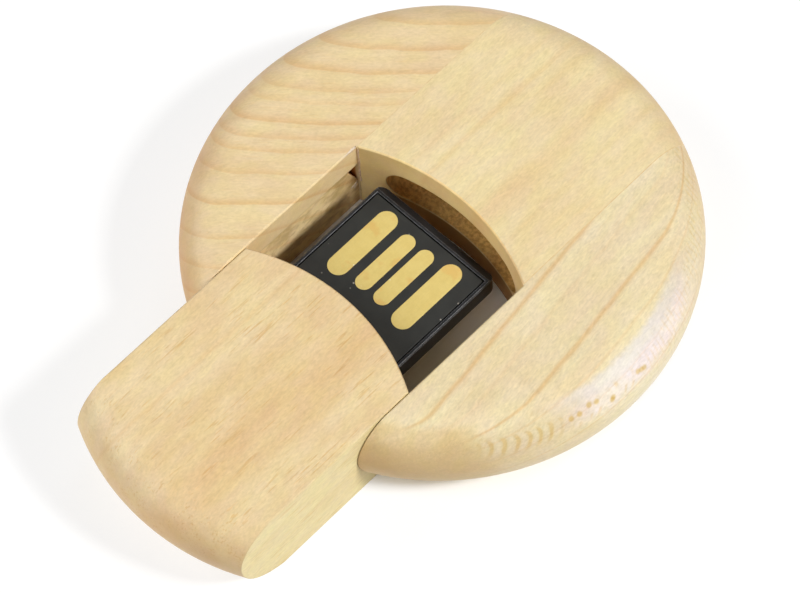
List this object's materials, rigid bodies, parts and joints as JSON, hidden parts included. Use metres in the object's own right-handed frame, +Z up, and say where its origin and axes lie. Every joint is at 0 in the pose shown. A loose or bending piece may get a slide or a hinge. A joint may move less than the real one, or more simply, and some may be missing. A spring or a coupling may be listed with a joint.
{
  "type": "usb flash drive",
  "caption": "Round wooden USB drive: a slotted disc and a sliding tongue that carries a thin bare-contact USB plug.",
  "frame": {"origin": "on the flat underside, at the middle of the half-open drive's outline", "axes": "+Z up through the disc; +Y from the tongue's nose towards the fixed end block, the way the USB plug points; +X to the right across the slot"},
  "size_m": [0.0414, 0.0538, 0.0086],
  "materials": {
    "cheek_wood": "sanded maple, clear satin",
    "end_block_wood": "sanded maple, clear satin",
    "tongue_wood": "sanded maple, clear satin",
    "glue": "dried wood glue",
    "tray_plastic": "black moulded plastic",
    "adhesive": "cured adhesive",
    "substrate": "matte black solder mask",
    "moulding": "black mould compound",
    "gold": "gold plate",
    "silicon": "polished silicon",
    "die_film": "die attach film",
    "crystal_can": "nickel plated can",
    "ceramic_chip": "ceramic chip part",
    "resistor_chip": "thick film resistor"
  },
  "bodies": {
    "disc": {"left_cheek": "cheek_wood", "right_cheek": "cheek_wood", "end_block": "end_block_wood", "left_glue_line": "glue", "right_glue_line": "glue"},
    "tongue": {"tongue_block": "tongue_wood", "connector_tray": "tray_plastic", "tray_adhesive": "adhesive", "module_tape": "adhesive", "module_substrate": "substrate", "module_moulding": "moulding", "contact_vbus": "gold", "contact_data_minus": "gold", "contact_data_plus": "gold", "contact_ground": "gold", "memory_die": "silicon", "controller_die": "silicon", "memory_die_film": "die_film", "controller_die_film": "die_film", "clock_crystal": "crystal_can", "chip_capacitors": "ceramic_chip", "chip_resistors": "resistor_chip", "bond_wires": "gold"}
  },
  "joints": [
    {"name": "tongue_slide", "type": "slide", "parent": "disc", "child": "tongue", "axis": [0, -1, 0], "range_m": [-0.0122, 0.022]}
  ]
}
